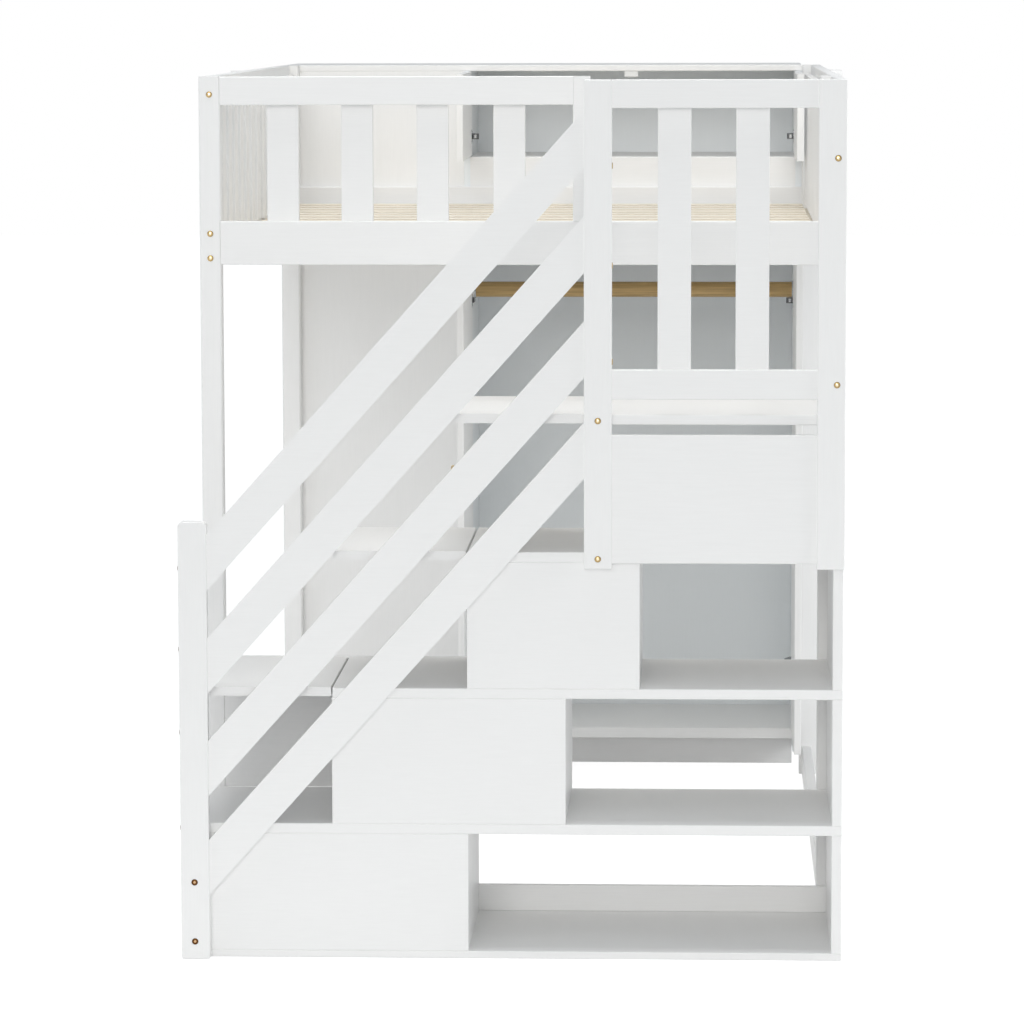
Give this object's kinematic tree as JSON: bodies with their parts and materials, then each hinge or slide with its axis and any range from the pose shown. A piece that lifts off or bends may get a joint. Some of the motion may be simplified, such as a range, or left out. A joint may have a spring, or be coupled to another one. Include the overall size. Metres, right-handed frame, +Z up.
{
  "type": "loft bed with wardrobe",
  "caption": "High white bed on square posts with slatted guards, reached by a stair of open and closed step boxes with a sloping handrail, and a wardrobe with hinged doors behind its head end.",
  "frame": {"origin": "centre of the bounding box's base, on the floor", "axes": "+X to the right seen from the stair front, +Y from the stair front towards the wardrobe's back, +Z up"},
  "size_m": [1.5068, 2.934, 1.918],
  "materials": {
    "painted_wood": "white satin paint",
    "pine": "bare sawn pine",
    "brown_wood": "clear varnish on brown wood",
    "steel": "polished",
    "brass": "satin",
    "white_plastic": "moulded"
  },
  "bodies": {
    "frame": {"bed_front_rail": "painted_wood", "bed_post_front_left": "painted_wood", "bed_post_front_right": "painted_wood", "bed_post_rear_left": "painted_wood", "bed_post_rear_right": "painted_wood", "bed_rear_rail": "painted_wood", "bed_side_rail_left": "painted_wood", "bed_side_rail_right": "painted_wood", "door_catch": "white_plastic", "end_panel_1": "painted_wood", "end_panel_2": "painted_wood", "end_panel_3": "painted_wood", "end_panel_4": "painted_wood", "floor_rail_left": "painted_wood", "floor_rail_right": "painted_wood", "floor_shelf": "painted_wood", "front_guard": "painted_wood", "hanging_rod": "brown_wood", "landing_board": "painted_wood", "landing_front_guard": "painted_wood", "landing_front_panel": "painted_wood", "landing_rear_leg": "painted_wood", "landing_side_guard": "painted_wood", "lower_box": "painted_wood", "middle_box": "painted_wood", "newel_post": "painted_wood", "rear_stretcher": "painted_wood", "right_post": "painted_wood", "side_guard_left": "painted_wood", "side_guard_right": "painted_wood", "slat_base": "pine", "stair_rail_1": "painted_wood", "stair_rail_2": "painted_wood", "stair_rail_3": "painted_wood", "stair_rail_4": "painted_wood", "tread_board_1": "painted_wood", "tread_board_2": "painted_wood", "tread_board_3": "painted_wood", "upper_box": "painted_wood", "upper_post": "painted_wood", "wardrobe_back": "painted_wood", "wardrobe_closed_front": "painted_wood", "wardrobe_divider": "painted_wood", "wardrobe_fixed_front": "painted_wood", "wardrobe_floor": "painted_wood", "wardrobe_kick_edge": "painted_wood", "wardrobe_plinth": "painted_wood", "wardrobe_shelf": "painted_wood", "wardrobe_side_left": "painted_wood", "wardrobe_side_right": "painted_wood", "wardrobe_top": "painted_wood"},
    "riser_flap_2": {"riser_flap_2": "painted_wood"},
    "riser_flap_3": {"riser_flap_3": "painted_wood"},
    "riser_flap_4": {"riser_flap_4": "painted_wood"},
    "lower_left_door": {"lower_left_door": "painted_wood", "lower_left_door_knob": "brass"},
    "lower_right_door": {"lower_right_door": "painted_wood", "lower_right_door_knob": "brass"},
    "upper_left_door": {"upper_left_door": "painted_wood"},
    "upper_right_door": {"upper_right_door": "painted_wood"}
  },
  "joints": [
    {"name": "riser_flap_2_hinge", "type": "hinge", "parent": "frame", "child": "riser_flap_2", "pos_m": [-0.40475, -1.2045, 0.5876], "axis": [0, 1, 0], "range_deg": [-90, 0]},
    {"name": "riser_flap_3_hinge", "type": "hinge", "parent": "frame", "child": "riser_flap_3", "pos_m": [-0.10875, -1.2045, 0.8872], "axis": [0, 1, 0], "range_deg": [-90, 0]},
    {"name": "riser_flap_4_hinge", "type": "hinge", "parent": "frame", "child": "riser_flap_4", "pos_m": [0.15425, -1.2045, 1.1868], "axis": [0, 1, 0], "range_deg": [-90, 0]},
    {"name": "lower_left_door_hinge", "type": "hinge", "parent": "frame", "child": "lower_left_door", "pos_m": [-0.22, 1.01375, 0.804], "axis": [0, 0, 1], "range_deg": [0, 90]},
    {"name": "lower_right_door_hinge", "type": "hinge", "parent": "frame", "child": "lower_right_door", "pos_m": [0.6635, 1.01375, 0.804], "axis": [0, 0, 1], "range_deg": [-90, 0]},
    {"name": "upper_left_door_hinge", "type": "hinge", "parent": "frame", "child": "upper_left_door", "pos_m": [-0.22, 1.01375, 1.7875], "axis": [0, 0, 1], "range_deg": [0, 90]},
    {"name": "upper_right_door_hinge", "type": "hinge", "parent": "frame", "child": "upper_right_door", "pos_m": [0.6635, 1.01375, 1.7875], "axis": [0, 0, 1], "range_deg": [-90, 0]}
  ]
}
